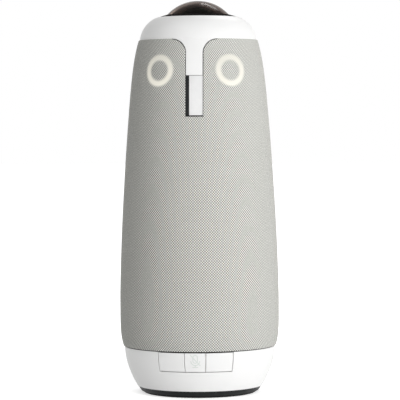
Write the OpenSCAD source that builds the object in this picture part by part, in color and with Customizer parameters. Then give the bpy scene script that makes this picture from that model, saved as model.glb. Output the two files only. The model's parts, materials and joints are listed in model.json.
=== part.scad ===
// Conference camera: a tall fabric-covered body with a panoramic lens on top.
// The front faces -Y, +Z is up, and the origin is on the floor under the centre.

/* [Body] */
// Overall height, from the surface it stands on to the top of the dome
total_h = 273; // [262:1:285]
// Largest diameter of the body
body_d = 111; // [107:1:116]
// Height of the widest ring of the body
belly_z = 65; // [58:1:72]
// How far the lower edge of the fabric lies inside its widest ring
hem_tuck = 2.4; // [2:0.1:3]
// Diameter of the fabric at its upper edge
crown_d = 82.8; // [81:0.2:86]
// Height of the upper edge of the white base
hem_z = 32.5; // [31.5:0.5:35.5]
// Groove between the white base and the fabric
hem_gap = 0.65; // [0.4:0.05:0.9]
// Thickness of the knitted fabric
fabric_t = 1.2; // [0.8:0.1:1.6]
// Wall of the perforated shell behind the fabric
grille_wall = 2.4; // [2:0.1:3]

/* [Base] */
// Step from the surface of the fabric in to the white base
base_step = 0.6; // [0.4:0.1:0.9]
// Lower diameter of the white base, as a share of its upper one
base_low_share = 0.832; // [0.81:0.002:0.86]
// Wall of the white base
base_wall = 2.2; // [1.8:0.1:2.8]
// Height of the black plate that shows under the white base
plate_show = 3.4; // [2.6:0.2:4.4]
// Height of the rubber foot that shows under the plate
foot_show = 1.6; // [1.2:0.1:2.2]
// Diameter that the rubber foot stands on, as a share of the base's lower one
foot_share = 0.865; // [0.82:0.005:0.89]
// Width of the rubber foot ring
foot_w = 11; // [8:0.5:13]
// Bore of the tripod thread
thread_d = 5.1; // [5:0.05:5.4]
// Depth of the tripod thread
thread_depth = 8; // [6:0.5:10]

/* [Keys] */
// Height of the keys
key_h = 12.8; // [11:0.1:14]
// Half of the angle that the row of keys takes up
key_row_deg = 29.2; // [26:0.2:32]
// Half of the angle that the middle key takes up
mute_key_deg = 8; // [6.5:0.25:9.5]
// Gap between the row of keys and the base
key_gap = 0.5; // [0.4:0.05:0.7]
// Gap between two keys
key_split = 0.4; // [0.35:0.05:0.6]
// Travel of a key
key_travel = 0.5; // [0.3:0.05:0.6]

/* [Top] */
// Height of the white cap above the fabric
cap_rise = 16.1; // [14:0.1:18]
// Wall of the white cap
cap_wall = 2.4; // [2:0.1:2.8]
// How far the cap lies inside the surface of the fabric
cap_sink = 0.7; // [0.5:0.1:1]
// Diameter of the dark ring round the dome
bezel_d = 55.6; // [54:0.2:58]
// Rise of the dark ring from its rim to the dome
bezel_rise = 1.75; // [1.4:0.05:2.2]
// Width of the dark ring from its rim to the foot of the dome
bezel_ring_w = 6.2; // [5.6:0.1:7]
// Radius of the dome's outer surface
dome_sphere_r = 29; // [27:0.5:32]
// Thickness of the dome's glass
dome_t = 2; // [1.5:0.1:2.4]

/* [Spine and trim plate] */
// Width of the spine that runs down the front from the cap
spine_w = 11.3; // [9:0.1:13]
// Length of the spine below the upper edge of the fabric
spine_l = 25; // [23:0.5:28]
// Radius of the fillets between spine and cap
spine_fillet = 9.8; // [8:0.2:13]
// Thickness of the spine
spine_t = 2.6; // [2.2:0.1:3]
// Length of the pocket under the spine that holds the trim plate
pocket_l = 27.5; // [22:0.5:32]
// Depth of the pocket in the shell
pocket_depth = 1; // [0.8:0.1:1.3]
// Width of the trim plate
plate_w = 9.4; // [8:0.1:9.8]
// Thickness of the trim plate
trim_t = 1.2; // [0.8:0.1:1.6]

/* [Light rings] */
// Outer diameter of a light ring
light_d = 22.8; // [20:0.2:24]
// Inner diameter of a light ring
light_bore = 13.4; // [11:0.2:15]
// Angle of each light ring from the front
light_deg = 32.4; // [30:0.2:36]
// Distance of the light rings below the upper edge of the fabric
light_drop = 21.6; // [19:0.2:24]

/* [Speakers] */
// Height left above the speaker housing for the boards and the camera
top_room = 74; // [70:1:80]
// Distance of the speakers' centres above the middle of their housing
speaker_lift = 2.5; // [-4:0.5:6]
// Diameter of a speaker's flange, as a share of the housing's diameter
speaker_share = 0.513; // [0.47:0.005:0.53]
// Depth of a speaker's basket, as a share of the speaker's diameter
basket_share = 0.305; // [0.26:0.005:0.33]
// Diameter of a speaker's magnet, as a share of the speaker's diameter
magnet_share = 0.59; // [0.5:0.01:0.62]
// Thickness of a speaker's magnet, as a share of the speaker's diameter
magnet_t_share = 0.16; // [0.12:0.01:0.18]
// Wall of the speaker housing
tub_wall = 2.6; // [2.2:0.1:3]
// Width of a slot in the shell in front of the speakers
slot_w = 3; // [2:0.1:3.4]
// Length of a slot in the shell
slot_l = 30; // [22:1:32]

/* [Electronics] */
// Gap between the main board and the frame round it
board_gap = 1.8; // [1.2:0.1:3]
// Side of the heat sink, as a share of the main board's diameter
sink_share = 0.625; // [0.55:0.005:0.65]
// Height of the heat sink
heat_sink_h = 15; // [12:0.5:18]
// Width of the recess at the rear that holds the connectors
bay_w = 32; // [31:0.5:34]
// Height of that recess
bay_h = 11.5; // [10.5:0.1:12]

/* [Hidden] */
$fn = 96;
overrun = 1;

// Heights that follow from the sizes above
dome_d = bezel_d - 2 * bezel_ring_w;
dome_rise = dome_sphere_r - sqrt(pow(dome_sphere_r, 2) - pow(dome_d / 2, 2));
dome_base_z = total_h - dome_rise;
cap_end_z = dome_base_z - bezel_rise;
crown_z = cap_end_z - cap_rise;
seam_z = foot_show + plate_show;
light_z = crown_z - light_drop;
spine_end_z = crown_z - spine_l;
pocket_z = spine_end_z - pocket_l;

// Form of the fabric-covered body
body_r = body_d / 2;
crown_r = crown_d / 2;
hem_r = body_r - hem_tuck;
taper_power = 1.5;
lip_power = 14;
lip_share = 0.206;
tuck_power = 5;
skin_gap = 0.1;
lower_rings = 5;
upper_rings = 22;
crowding_power = 1.7;

function steps(count) = [for (i = [0 : count]) i / count];
function crown_pull(u) = (1 - lip_share) * pow(u, taper_power) + lip_share * pow(u, lip_power);
function upper_r(z) = body_r - (body_r - crown_r) * crown_pull((z - belly_z) / (crown_z - belly_z));
function lower_r(z) = body_r - (body_r - hem_r) * pow((belly_z - z) / (belly_z - hem_z), tuck_power);
function sleeve_r(z) = z > belly_z ? upper_r(z) : lower_r(z);
function grille_r(z) = sleeve_r(z) - fabric_t - skin_gap;
function grille_in_r(z) = grille_r(z) - grille_wall;

// Heights of the profile's points, closer together towards the crown
function upper_z(s) = crown_z - (crown_z - belly_z) * pow(1 - s, crowding_power);
lower_zs = [for (s = steps(lower_rings)) hem_z + (belly_z - hem_z) * s];
upper_zs = [for (s = steps(upper_rings)) upper_z(s)];
sleeve_zs = concat(lower_zs, [for (i = [1 : upper_rings]) upper_zs[i]]);

// Form of the white base
base_top_r = hem_r - base_step;
base_low_r = base_top_r * base_low_share;
base_power = 1.9;
base_rings = 12;
base_zs = [for (s = steps(base_rings)) seam_z + (hem_z - seam_z) * s];
function base_drop(z) = pow((hem_z - z) / (hem_z - seam_z), base_power);
function base_r(z) = base_top_r - (base_top_r - base_low_r) * base_drop(z);
function base_in_r(z) = base_r(z) - base_wall;

// Form of the white cap
cap_r = crown_r - cap_sink;
bezel_gap = 0.3;
cap_end_r = bezel_d / 2 + bezel_gap;
cap_arc_deg = 75;
cap_draft_share = 0.1;
cap_rings = 12;
cap_arc_h = cap_rise / sin(cap_arc_deg);
cap_arc_w = (cap_r - cap_end_r - cap_draft_share * cap_rise) / (1 - cos(cap_arc_deg));
cap_degs = [for (s = steps(cap_rings)) cap_arc_deg * s];
function cap_outer_r(a) = cap_r - cap_draft_share * cap_arc_h * sin(a) - cap_arc_w * (1 - cos(a));
function cap_point(a, inset) = [
    cap_outer_r(a) - inset * cos(a),
    crown_z + (cap_arc_h - inset) * sin(a)
];

// Ring seat in the cap that carries the bezel
seat_depth = 1.7;
seat_t = 1.9;
seat_w = 3.6;
seat_z = cap_end_z - seat_depth;

// Spigot of the cap inside the shell
spigot_gap = 0.3;
spigot_t = 2;
spigot_l = 5;
spigot_web = 2.4;
spigot_r = grille_in_r(crown_z) - spigot_gap;

// Gaps in the fabric and the shell round the spine
fabric_gap = 0.6;
spine_gap = 0.3;
plate_gap = 0.3;
pocket_foot_gap = 0.9;

// Foot, base plate and tripod insert
foot_seat = 0.7;
foot_gap = 0.1;
foot_round = 2.3;
foot_rings = 6;
plate_t = 2.8;
plate_low_share = 0.72;
plate_spigot_h = 3;
plate_spigot_t = 2.2;
plate_spigot_gap = 0.3;
foot_r = base_low_r * foot_share;
foot_out_r = foot_r + foot_round;
foot_in_r = foot_out_r - foot_w;
insert_d = 10;
insert_flange_d = 15;
insert_flange_t = 1;
insert_gap = 0.1;
insert_boss_d = 17;
insert_cap_t = 1;
insert_top_z = foot_show + thread_depth + insert_cap_t;

// Angles that things with four or three screws share
quarter_places = [45, 135, 225, 315];
third_places = [90, 210, 330];

// Screws between base plate and speaker housing
post_ring_r = (foot_in_r + foot_out_r) / 2;
post_d = 8;
post_bore_d = 2.6;
post_lift = 1.4;
post_z = seam_z + post_lift;
plate_boss_d = 10;
screw_d = 2.5;
screw_head_d = 5.2;
screw_head_t = 1.8;
screw_head_gap = 0.3;
screw_l = 14;

// Keys, their switches and the bracket behind them
key_top_gap = 0.4;
key_z1 = hem_z - key_top_gap;
key_z0 = key_z1 - key_h;
key_rings = 5;
key_t = 3.4;
lip_l = 1.2;
lip_gap = 0.35;
lip_cut_deg = 3;
key_zs = [for (s = steps(key_rings)) key_z0 + key_h * s];
key_mid_z = (key_z0 + key_z1) / 2;
side_key_deg = (key_row_deg + mute_key_deg) / 2;
key_places = [-side_key_deg, 0, side_key_deg];
gap_deg = asin(key_gap / base_r(key_mid_z));
split_deg = asin(key_split / base_r(key_mid_z));
switch_w = 6;
switch_t = 3.1;
stem_d = 3.4;
stem_gap = 0.3;
stem_show = 1.2;
stem_in = 1.2;
stem_floor_gap = 0.3;
plunger_d = 5;
plunger_l = 2.6;
flex_t = 0.4;
bracket_t = 2;
shelf_t = 2.5;
shelf_drop = 7.4;
shelf_w = 8;
shelf_bite = 1;
key_back_r = base_r(key_mid_z) - key_t;
stem_tip_r = key_back_r - plunger_l;
switch_face_r = stem_tip_r - stem_show;
flex_r = switch_face_r - switch_t;
bracket_r = flex_r - flex_t;
shelf_z = key_z0 - shelf_drop;
bracket_drop = 1;
bracket_top_z = hem_z - bracket_drop;
flex_lift = 2;
flex_low_z = shelf_z + shelf_t + flex_lift;

// Ledge inside the base that carries the speaker housing
ledge_w = 4.4;
ledge_t = 3;

// Speaker housing and what stands on it
flange_gap = 0.3;
flange_t = 3;
air_gap = 3.6;
flange_top_z = hem_z + flange_t;
tub_h = crown_z - top_room - hem_z;
tub_top_z = hem_z + tub_h;
lid_t = 3;
lid_z = tub_top_z + lid_t;
flange_r = min(grille_in_r(hem_z), grille_in_r(flange_top_z)) - flange_gap;
tub_r = grille_in_r(lid_z) - air_gap;
speaker_d = 2 * tub_r * speaker_share;
speaker_margin = 0.8;
flat_r = sqrt(pow(tub_r, 2) - pow(speaker_d / 2 + speaker_margin, 2));
speaker_z = hem_z + tub_h / 2 + speaker_lift;
speaker_places = [0, 120, -120];
tub_boss_d = 7;
tub_boss_inset = 3.9;
tub_bore_d = 2.6;
lid_screw_l = 12;
lid_head_t = 1.6;
lid_head_d = 4.2;
lid_head_gap = 0.4;
tub_corner_r = tub_r - tub_boss_inset;

// Speaker details
basket_depth = speaker_d * basket_share;
magnet_d = speaker_d * magnet_share;
magnet_t = speaker_d * magnet_t_share;
basket_flange_t = 1.6;
basket_wall = 1.4;
basket_rim = 4;
basket_gap = 0.3;
cone_seat_t = 1;
cone_seat_w = 1;
cone_t = 0.6;
cone_gap = 0.2;
roll_half_w = 1.5;
roll_rise = 1;
roll_rings = 8;
dust_r = 5;
dust_rise = 2;
dust_rings = 4;
cone_depth = 6;
basket_foot_share = 0.74;
basket_bore_share = 0.28;
speaker_screw_d = 2.1;
speaker_screw_head_d = 3.4;
speaker_screw_head_t = 1.2;
speaker_screw_l = 5;
speaker_screw_gap = 0.1;
magnet_vent_d = 6;

// Slots in the shell
slot_columns = 5;
slot_rows = 2;
slot_pitch_deg = 6.2;
slot_bridge = 6;
slot_pitch_z = slot_l + slot_bridge;

// Main board and heat sink
standoff_h = 6;
standoff_d = 5;
standoff_inset = 5;
board_t = 1.6;
can_w_share = 0.53;
can_d_share = 0.235;
can_gap = 3;
can_t = 2.4;
fin_count = 9;
fin_t = 1.2;
sink_base_t = 3;
board_z = lid_z + standoff_h;
board_top_z = board_z + board_t;
sink_z = board_top_z + can_t;

// Light boards, upper frame, microphones
light_fit_gap = 0.25;
light_board_d = 25;
light_board_t = 1.2;
light_board_gap = 0.8;
pad_d = 9;
frame_wall = 2.4;
deck_t = 2.4;
light_face_r = min(
    sqrt(pow(grille_in_r(light_z) - light_board_gap, 2) - pow(light_board_d / 2, 2)),
    grille_in_r(light_z + light_board_d / 2) - light_board_gap
) - light_board_gap;
light_back_r = light_face_r - light_board_t;
frame_inset = 0.6;
frame_r = min(light_back_r - frame_inset, tub_corner_r - lid_head_d / 2 - lid_head_gap);
main_board_d = 2 * (frame_r - frame_wall - board_gap);
standoff_r = main_board_d / 2 - standoff_inset;
heat_sink_w = main_board_d * sink_share;
can_w = main_board_d * can_w_share;
can_d = main_board_d * can_d_share;
mic_clear = 2.2;
mic_board_t = 1.2;
mic_t = 1.1;
mic_l = 3.5;
mic_w = 2.6;
mic_count = 8;
mic_inset = 4.2;
deck_top_z = crown_z - spigot_l - mic_clear - mic_board_t - mic_t;
deck_z = deck_top_z - deck_t;
window_w = 20;
window_foot_share = 0.25;
window_head = 4;
window_places = [-30, 30, 90, 150, 210];
window_top_z = light_z - light_board_d / 2 - window_head;
window_low_z = lid_z + (window_top_z - lid_z) * window_foot_share;

// Screws that hold the cap
cap_boss_d = 6;
cap_boss_gap = 0.4;
cap_boss_inset = 7;
cap_boss_ring_r = frame_r - cap_boss_inset;
cap_screw_l = 14;
cap_screw_head_t = 1.4;
cap_screw_head_d = 4.4;

// Camera module
barrel_flange_d = 38;
barrel_flange_t = 2.5;
barrel_head_share = 7 / 9;
barrel_head_d = dome_d * barrel_head_share;
barrel_head_l = 7;
barrel_step = 3.8;
barrel_d = barrel_head_d - 2 * barrel_step;
tail_gap = 0.3;
tail_l = 4;
lens_share = 25 / 28;
lens_sphere_share = 17 / 30;
lens_back_share = 0.4;
lens_d = barrel_head_d * lens_share;
lens_gap = 0.2;
lens_edge_t = 1;
lens_sphere_r = lens_d * lens_sphere_share;
lens_back_r = lens_d * lens_back_share;
lens_back_drop = 3.5;
lens_under_dome = 1.5;
element_d = 11.8;
element_t = 2;
element_count = 3;
element_pitch = 3.4;
element_gap = 0.1;
lens_step = 1.6;
lens_top_z = total_h - dome_t - lens_under_dome;
lens_centre_z = lens_top_z - lens_sphere_r;
lens_rim_z = lens_centre_z + sqrt(pow(lens_sphere_r, 2) - pow(lens_d / 2, 2));
lens_seat_z = lens_rim_z - lens_edge_t;
barrel_bore_d = element_d + 2 * element_gap;
sensor_board_d = 30;
sensor_board_t = 1.2;
sensor_w = 8;
sensor_t = 1.6;
sensor_cavity_d = 14;
tail_z = deck_top_z - tail_l;
sensor_board_z = tail_z - sensor_board_t;
sensor_clear = 1.4;
barrel_bore_z = tail_z + sensor_t + sensor_clear;

// Bezel and seal under the dome
seal_t = 0.7;
seal_w = 1.6;
dome_gap = 0.3;
dome_rim_l = 1.75;
dome_rim_z = dome_base_z - dome_rim_l;
dome_ledge = 2.1;
bezel_bore_r = dome_d / 2 - dome_ledge;

// Camera flex cable
cable_w = 12;
cable_t = 0.4;
cable_inset = 5;
cable_out = main_board_d / 2 - cable_inset;
cable_start = 9;
cable_foot = 5;

// Connectors at the rear
bay_z0 = 15.5;
bay_depth = 6.3;
bay_corner = 2;
bay_panel_t = 2.4;
bay_y = base_top_r - bay_depth;
bay_mid_z = bay_z0 + bay_h / 2;
bay_frame_w = 3;
connector_gap = 0.2;
connector_step = 0.2;
usb_x = -0.8;
usb_w = 8.9;
usb_h = 3.2;
usb_l = 7.4;
usb_wall = 0.35;
usb_tongue_w = 6.7;
usb_tongue_t = 0.7;
usb_tongue_l = 5.6;
usb_foot_l = 1.4;
jack_x = 9.6;
jack_w = 8.6;
jack_h = 8.6;
jack_l = 12;
jack_hole_d = 5.7;
jack_hole_l = 9.5;
jack_pin_d = 2.1;
jack_pin_back = 0.8;
lock_x = -11;
lock_slot_w = 7;
lock_slot_h = 3;
lock_slot_round = 0.75;
lock_w = 9;
lock_h = 8;
lock_t = 3;
port_board_t = 1.6;
port_board_w = 27;
port_board_l = 17;
port_board_z = bay_mid_z - jack_h / 2 - port_board_t;
port_post_d = 5;
port_post_inset = 3;

// Helpers

function reversed(list) = [for (i = [len(list) - 1 : -1 : 0]) list[i]];

// A ring between two radii and two heights
module ring(r_out, r_in, z0, z1) {
    translate([0, 0, z0])
        difference() {
            cylinder(r = r_out, h = z1 - z0);
            translate([0, 0, -overrun])
                cylinder(r = r_in, h = z1 - z0 + 2 * overrun);
        }
}

// A block centred on x between two heights and two y values
module block(w, y0, y1, z0, z1) {
    translate([-w / 2, y0, z0])
        cube([w, y1 - y0, z1 - z0]);
}

// A rod that points outward along the direction at a given angle from the front
module radial(deg, z, r0) {
    rotate([0, 0, deg])
        translate([0, -r0, z])
            rotate([90, 0, 0])
                children();
}

// What a flat outline in x and z cuts out of the front half
module front_cut() {
    rotate([90, 0, 0])
        linear_extrude(body_d)
            children();
}

// A revolved wall that follows the fabric's form, between two insets
module sleeve_wall(inset_out, inset_in, low_z = hem_z) {
    zs = concat([low_z], [for (z = sleeve_zs) if (z > low_z) z]);
    rotate_extrude()
        polygon(concat(
            [for (z = zs) [sleeve_r(z) - inset_out, z]],
            [for (z = reversed(zs)) [sleeve_r(z) - inset_in, z]]
        ));
}

// Outline of the spine and its fillets, grown by a gap, up to a given height
module spine_outline(grow, top_z) {
    fillet_x = spine_w / 2 + spine_fillet;
    difference() {
        union() {
            translate([-spine_w / 2 - grow, spine_end_z - grow])
                square([spine_w + 2 * grow, top_z - spine_end_z + grow]);
            translate([-fillet_x, crown_z - spine_fillet])
                square([2 * fillet_x, top_z - crown_z + spine_fillet]);
        }
        for (side = [-1, 1])
            translate([side * fillet_x, crown_z - spine_fillet])
                circle(r = spine_fillet - grow);
    }
}

// Outline of the pocket for the trim plate
module pocket_outline(grow) {
    translate([-spine_w / 2 - grow, pocket_z - grow])
        square([spine_w + 2 * grow, pocket_l + 2 * grow]);
}

// Foot and base

module foot_ring() {
    foot_top_z = foot_show + foot_seat - foot_gap;
    arc_pts = [
        for (s = steps(foot_rings))
            [foot_r + foot_round * sin(90 * s), foot_round * (1 - cos(90 * s))]
    ];
    color("dimgray")
        rotate_extrude()
            polygon(concat(
                [[foot_in_r, 0]],
                [for (p = arc_pts) if (p[1] < foot_top_z) p],
                [[foot_out_r, foot_top_z], [foot_in_r, foot_top_z]]
            ));
}

module base_plate() {
    low_r = base_low_r - (base_low_r - foot_out_r) * plate_low_share;
    spigot_out_r = base_in_r(seam_z) - plate_spigot_gap;
    seat_top_z = foot_show + foot_seat;
    color("black")
        difference() {
            union() {
                rotate_extrude()
                    polygon([
                        [0, foot_show],
                        [low_r, foot_show],
                        [base_low_r - plate_spigot_gap, seam_z],
                        [spigot_out_r, seam_z],
                        [spigot_out_r, seam_z + plate_spigot_h],
                        [spigot_out_r - plate_spigot_t, seam_z + plate_spigot_h],
                        [spigot_out_r - plate_spigot_t, foot_show + plate_t],
                        [0, foot_show + plate_t]
                    ]);
                cylinder_between(insert_boss_d / 2, foot_show + plate_t / 2, insert_top_z - insert_flange_t);
                at_posts()
                    cylinder_between(plate_boss_d / 2, foot_show + plate_t / 2, post_z);
                at_port_posts()
                    cylinder_between(port_post_d / 2, foot_show + plate_t / 2, port_board_z);
            }
            ring(foot_out_r + foot_gap, foot_in_r - foot_gap, foot_show - overrun, seat_top_z);
            cylinder_between(insert_d / 2 + insert_gap, foot_show - overrun, insert_top_z + overrun);
            at_posts()
                cylinder_between(
                    screw_head_d / 2 + screw_head_gap, foot_show - overrun, seat_top_z + screw_head_t
                );
            at_posts()
                cylinder_between(post_bore_d / 2, foot_show - overrun, post_z + overrun);
        }
}

module cylinder_between(r, z0, z1) {
    translate([0, 0, z0])
        cylinder(r = r, h = z1 - z0);
}

module at_posts() {
    for (deg = quarter_places)
        rotate([0, 0, deg])
            translate([post_ring_r, 0, 0])
                children();
}

module at_port_posts() {
    for (side = [-1, 1])
        translate([
            side * (port_board_w / 2 - port_post_inset),
            bay_y - bay_panel_t - port_board_l + port_post_inset,
            0
        ])
            children();
}

module tripod_insert() {
    color("goldenrod")
        difference() {
            union() {
                cylinder_between(insert_d / 2, foot_show, insert_top_z);
                cylinder_between(insert_flange_d / 2, insert_top_z - insert_flange_t, insert_top_z);
            }
            cylinder_between(thread_d / 2, foot_show - overrun, foot_show + thread_depth);
        }
}

module base_screws() {
    head_z = foot_show + foot_seat;
    color("silver")
        at_posts() {
            cylinder_between(screw_head_d / 2, head_z, head_z + screw_head_t);
            cylinder_between(screw_d / 2, head_z + screw_head_t / 2, head_z + screw_l);
        }
}

// A sector of a revolved outline, centred at an angle from the front
module sector(centre_deg, width_deg) {
    rotate([0, 0, centre_deg - 90 - width_deg / 2])
        rotate_extrude(angle = width_deg)
            children();
}

module base_shell() {
    window_deg = 2 * (key_row_deg - split_deg / 2 + gap_deg);
    color("white")
        difference() {
            union() {
                rotate_extrude()
                    polygon(concat(
                        [for (z = base_zs) [base_r(z), z]],
                        [for (z = reversed(base_zs)) [base_in_r(z), z]]
                    ));
                ledge();
                key_shelf();
                bay_panel();
            }
            sector(0, window_deg)
                translate([flex_r, key_z0 - key_gap])
                    square([body_r - flex_r, hem_z - key_z0 + key_gap + overrun]);
            bay_cut();
            connector_holes();
        }
}

// The ledge is left out behind the keys
module ledge() {
    ledge_out_r = base_in_r(hem_z - ledge_t) + base_wall / 2;
    difference() {
        ring(ledge_out_r, base_in_r(hem_z) - ledge_w, hem_z - ledge_t, hem_z);
        sector(0, 2 * (key_row_deg + lip_cut_deg))
            translate([0, hem_z - ledge_t - overrun])
                square([base_in_r(hem_z - ledge_t), ledge_t + 2 * overrun]);
    }
}

module key_shelf() {
    shelf_deg = 2 * (key_row_deg + lip_cut_deg);
    wall_r = base_in_r(shelf_z);
    sector(0, shelf_deg)
        polygon([
            [bracket_r - shelf_w, shelf_z],
            [wall_r + shelf_bite, shelf_z],
            [base_in_r(shelf_z + shelf_t) + shelf_bite, shelf_z + shelf_t],
            [bracket_r - shelf_w, shelf_z + shelf_t]
        ]);
}

// Solid wall round the recess for the connectors
module bay_panel() {
    intersection() {
        rotate_extrude()
            polygon(concat(
                [[0, seam_z]],
                [for (z = base_zs) [base_r(z), z]],
                [[0, hem_z]]
            ));
        block(
            bay_w + 2 * bay_frame_w, bay_y - bay_panel_t, body_r,
            bay_z0 - bay_frame_w, bay_z0 + bay_h + bay_frame_w
        );
    }
}

module rounded_rectangle(w, h, r) {
    square([w - 2 * r, h], center = true);
    square([w, h - 2 * r], center = true);
    for (sx = [-1, 1], sy = [-1, 1])
        translate([sx * (w / 2 - r), sy * (h / 2 - r)])
            circle(r = r);
}

// A prism that runs towards +Y from y0, with its outline centred at x and z
module rear_prism(x, z, y0, l) {
    translate([x, y0 + l, z])
        rotate([90, 0, 0])
            linear_extrude(l)
                children();
}

module bay_cut() {
    rear_prism(0, bay_mid_z, bay_y, body_r)
        rounded_rectangle(bay_w, bay_h, bay_corner);
}

module connector_holes() {
    hole_y = bay_y - bay_panel_t - overrun;
    hole_l = bay_panel_t + 2 * overrun;
    rear_prism(usb_x, bay_mid_z, hole_y, hole_l)
        rounded_rectangle(
            usb_w + 2 * connector_gap, usb_h + 2 * connector_gap, usb_h / 2
        );
    rear_prism(jack_x, bay_mid_z, hole_y, hole_l)
        square([jack_w + 2 * connector_gap, jack_h + 2 * connector_gap], center = true);
    rear_prism(lock_x, bay_mid_z, hole_y, hole_l)
        rounded_rectangle(lock_slot_w, lock_slot_h, lock_slot_round);
}

// Keys

// A key between two angles from the front, with its plunger at its middle
module key(deg0, deg1) {
    press_deg = (deg0 + deg1) / 2;
    lip_z = key_z0 - lip_l;
    sector(press_deg, deg1 - deg0 - split_deg)
        polygon(concat(
            [for (z = key_zs) [base_r(z), z]],
            [for (z = reversed(key_zs)) [base_r(z) - key_t, z]],
            [
                [base_r(lip_z) - key_t, lip_z],
                [base_in_r(lip_z) - lip_gap, lip_z],
                [base_in_r(lip_z) - lip_gap, key_z0]
            ]
        ));
    radial(press_deg, key_mid_z, stem_tip_r)
        cylinder(d = plunger_d, h = plunger_l + key_t / 2);
}

module key_stem(deg) {
    radial(deg, key_mid_z, switch_face_r - stem_in)
        cylinder(d = stem_d, h = stem_in + stem_show);
}

module volume_down_key() {
    color("whitesmoke")
        key(-key_row_deg, -mute_key_deg);
}

module mute_key() {
    color("whitesmoke")
        key(-mute_key_deg, mute_key_deg);
}

module volume_up_key() {
    color("whitesmoke")
        key(mute_key_deg, key_row_deg);
}

module volume_down_stem() {
    color("dimgray")
        key_stem(key_places[0]);
}

module mute_stem() {
    color("dimgray")
        key_stem(key_places[1]);
}

module volume_up_stem() {
    color("dimgray")
        key_stem(key_places[2]);
}

module key_switches() {
    well = stem_in + key_travel + stem_floor_gap;
    color("gray")
        for (deg = key_places)
            radial(deg, key_mid_z, flex_r)
                difference() {
                    translate([-switch_w / 2, -switch_w / 2, 0])
                        cube([switch_w, switch_w, switch_t]);
                    translate([0, 0, switch_t - well])
                        cylinder(d = stem_d + 2 * stem_gap, h = well + overrun);
                }
}

// Corner points of a strip that faces each key in turn
function facet_points(r) = [
    for (deg = [-key_row_deg - lip_cut_deg, -side_key_deg / 2, side_key_deg / 2, key_row_deg + lip_cut_deg])
        let (
            face_deg = abs(deg) > side_key_deg / 2 ? sign(deg) * side_key_deg : 0,
            corner_r = r / cos(deg - face_deg)
        )
            [corner_r * sin(deg), -corner_r * cos(deg)]
];

module facet_strip(r_out, r_in, z0, z1) {
    translate([0, 0, z0])
        linear_extrude(z1 - z0)
            polygon(concat(facet_points(r_out), reversed(facet_points(r_in))));
}

module key_flex_board() {
    color("darkorange")
        facet_strip(flex_r, bracket_r, flex_low_z, bracket_top_z);
}

module key_bracket() {
    color("black")
        facet_strip(bracket_r, bracket_r - bracket_t, shelf_z + shelf_t, bracket_top_z);
}

// Connectors

module port_board() {
    board_y1 = bay_y - bay_panel_t - connector_gap;
    color("darkgreen")
        block(
            port_board_w, board_y1 - port_board_l, board_y1,
            port_board_z, port_board_z + port_board_t
        );
}

module power_jack() {
    face_y = bay_y - connector_step;
    color("black")
        difference() {
            rear_prism(jack_x, bay_mid_z, face_y - jack_l, jack_l)
                square([jack_w, jack_h], center = true);
            difference() {
                rear_prism(jack_x, bay_mid_z, face_y - jack_hole_l, jack_hole_l + overrun)
                    circle(d = jack_hole_d);
                rear_prism(jack_x, bay_mid_z, face_y - jack_l, jack_l - jack_pin_back)
                    circle(d = jack_pin_d);
            }
        }
}

module usb_port() {
    face_y = bay_y - connector_step;
    color("silver") {
        difference() {
            rear_prism(usb_x, bay_mid_z, face_y - usb_l, usb_l)
                rounded_rectangle(usb_w, usb_h, usb_h / 2 - usb_wall / 2);
            rear_prism(usb_x, bay_mid_z, face_y - usb_l + 2 * usb_wall, usb_l)
                rounded_rectangle(
                    usb_w - 2 * usb_wall, usb_h - 2 * usb_wall, (usb_h - 2 * usb_wall) / 2 - usb_wall / 2
                );
        }
        rear_prism(usb_x, bay_mid_z, face_y - usb_l + usb_wall, usb_tongue_l)
            square([usb_tongue_w, usb_tongue_t], center = true);
        translate([usb_x, 0, 0])
            block(
                usb_w, face_y - usb_l, face_y - usb_l + usb_foot_l,
                port_board_z + port_board_t, bay_mid_z - usb_h / 2 + usb_wall
            );
    }
}

module lock_slot_insert() {
    back_y = bay_y - bay_panel_t - lock_t;
    color("silver")
        difference() {
            rear_prism(lock_x, bay_mid_z, back_y, lock_t)
                square([lock_w, lock_h], center = true);
            rear_prism(lock_x, bay_mid_z, back_y - overrun, lock_t + 2 * overrun)
                rounded_rectangle(lock_slot_w, lock_slot_h, lock_slot_round);
        }
}

// Speaker housing

// A round section with a flat for each speaker
module tub_section(inset) {
    intersection() {
        circle(r = tub_r - inset);
        rotate(90)
            circle(r = 2 * (flat_r - inset), $fn = 3);
    }
}

module at_tub_corners() {
    for (deg = third_places)
        rotate([0, 0, deg])
            translate([tub_corner_r, 0, 0])
                children();
}

module speaker_housing() {
    basket_bore_r = speaker_d / 2 - basket_rim + basket_gap;
    color("darkslategray")
        difference() {
            union() {
                cylinder_between(flange_r, hem_z, flange_top_z);
                translate([0, 0, flange_top_z - overrun])
                    linear_extrude(tub_top_z - flange_top_z + overrun)
                        difference() {
                            tub_section(0);
                            tub_section(tub_wall);
                        }
                at_tub_corners()
                    cylinder_between(tub_boss_d / 2, flange_top_z - overrun, tub_top_z);
                at_posts()
                    cylinder_between(post_d / 2, post_z, hem_z + flange_t / 2);
            }
            at_posts()
                cylinder_between(post_bore_d / 2, post_z - overrun, post_z + screw_l);
            at_tub_corners()
                cylinder_between(tub_bore_d / 2, tub_top_z - lid_screw_l, tub_top_z + overrun);
            for (deg = speaker_places)
                radial(deg, speaker_z, flat_r - tub_wall - overrun) {
                    cylinder(r = basket_bore_r, h = tub_wall + 2 * overrun);
                    at_speaker_screws()
                        cylinder(
                            d = speaker_screw_d + 2 * speaker_screw_gap,
                            h = tub_wall + 2 * overrun
                        );
                }
        }
}

module at_speaker_screws() {
    for (deg = quarter_places)
        rotate([0, 0, deg])
            translate([speaker_d / 2 - basket_rim / 2, 0, 0])
                children();
}

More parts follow.
